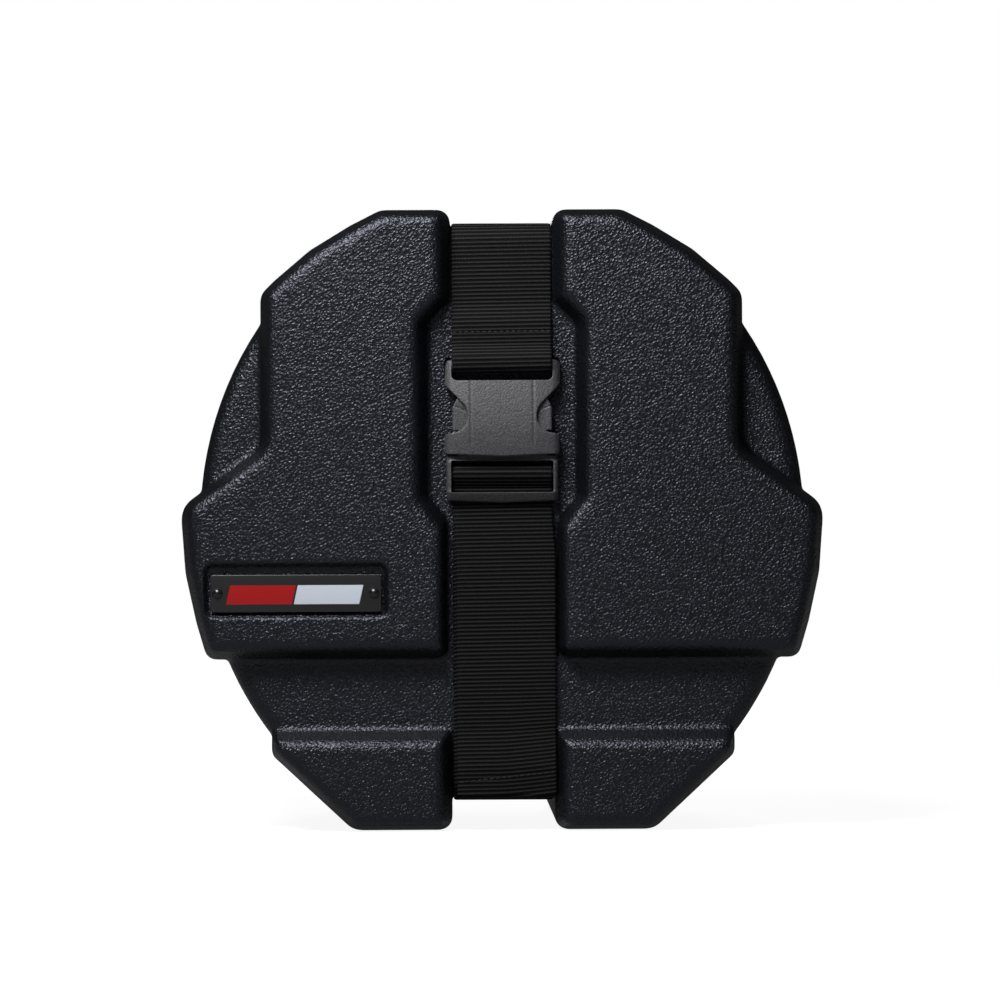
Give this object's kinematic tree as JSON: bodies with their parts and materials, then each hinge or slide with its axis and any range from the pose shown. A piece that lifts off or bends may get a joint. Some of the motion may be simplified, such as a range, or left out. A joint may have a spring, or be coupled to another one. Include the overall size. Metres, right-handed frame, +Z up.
{
  "type": "drum case",
  "caption": "Round moulded drum case in two shells with raised blocks and feet, foam lined, held shut by a webbing strap with a side release buckle.",
  "frame": {"origin": "centre of the footprint, on the floor under the feet", "axes": "+Z up, -Y out of the face that carries the buckle, +X to the right seen from the front"},
  "size_m": [0.322, 0.28, 0.3114],
  "materials": {
    "shell": "pebble-grained black moulded polyethylene",
    "foam": "charcoal closed-cell foam",
    "webbing": "black ribbed webbing",
    "handle_webbing": "black flat webbing",
    "grip": "matt black moulded sleeve",
    "buckle": "satin dark grey acetal with a fine grain",
    "nameplate": "dark grey plate, left bare",
    "black_rivet": "black coated",
    "washer": "zinc plated"
  },
  "bodies": {
    "rear_case": {"rear_shell": "shell", "rear_foam_pad": "foam", "rear_foam_liner": "foam", "strap_rear": "webbing", "strap_top_run": "webbing", "strap_bottom_run": "webbing", "handle_webbing": "handle_webbing", "handle_rivet_1": "black_rivet", "handle_rivet_2": "black_rivet", "handle_rivet_3": "black_rivet", "handle_rivet_4": "black_rivet", "rivet_washer_1": "washer", "rivet_washer_2": "washer", "rivet_washer_3": "washer", "rivet_washer_4": "washer"},
    "lid": {"front_shell": "shell", "front_foam_pad": "foam", "front_foam_liner": "foam", "nameplate": "nameplate", "nameplate_rivet_left": "black_rivet", "nameplate_rivet_right": "black_rivet", "strap_front_upper": "webbing", "strap_front_lower": "webbing", "strap_tail": "webbing", "buckle_socket": "buckle"},
    "insert": {"buckle_insert": "buckle", "strap_adjuster_loop": "webbing"},
    "left_arm": {"release_arm_left": "buckle"},
    "right_arm": {"release_arm_right": "buckle"},
    "grip": {"handle_grip": "grip"}
  },
  "joints": [
    {"name": "lid_pull", "type": "slide", "parent": "rear_case", "child": "lid", "axis": [0, -1, 0], "range_m": [0, 0.07], "deforming": ["strap_top_run", "strap_bottom_run"]},
    {"name": "buckle_release", "type": "slide", "parent": "lid", "child": "insert", "axis": [0, 0, -1], "range_m": [0, 0.04], "deforming": ["strap_front_lower", "strap_tail", "release_arm_left", "release_arm_right"]},
    {"name": "release_left", "type": "hinge", "parent": "insert", "child": "left_arm", "pos_m": [-0.02085, -0.133, 0.1908], "axis": [0, 1, 0], "range_deg": [0, 15], "stiffness_Nm_per_rad": 0.2},
    {"name": "release_right", "type": "hinge", "parent": "insert", "child": "right_arm", "pos_m": [0.02085, -0.133, 0.1908], "axis": [0, -1, 0], "range_deg": [0, 15], "stiffness_Nm_per_rad": 0.2},
    {"name": "handle_lift", "type": "slide", "parent": "rear_case", "child": "grip", "axis": [0, 0, 1], "range_m": [0, 0.012], "deforming": ["handle_webbing"]}
  ]
}
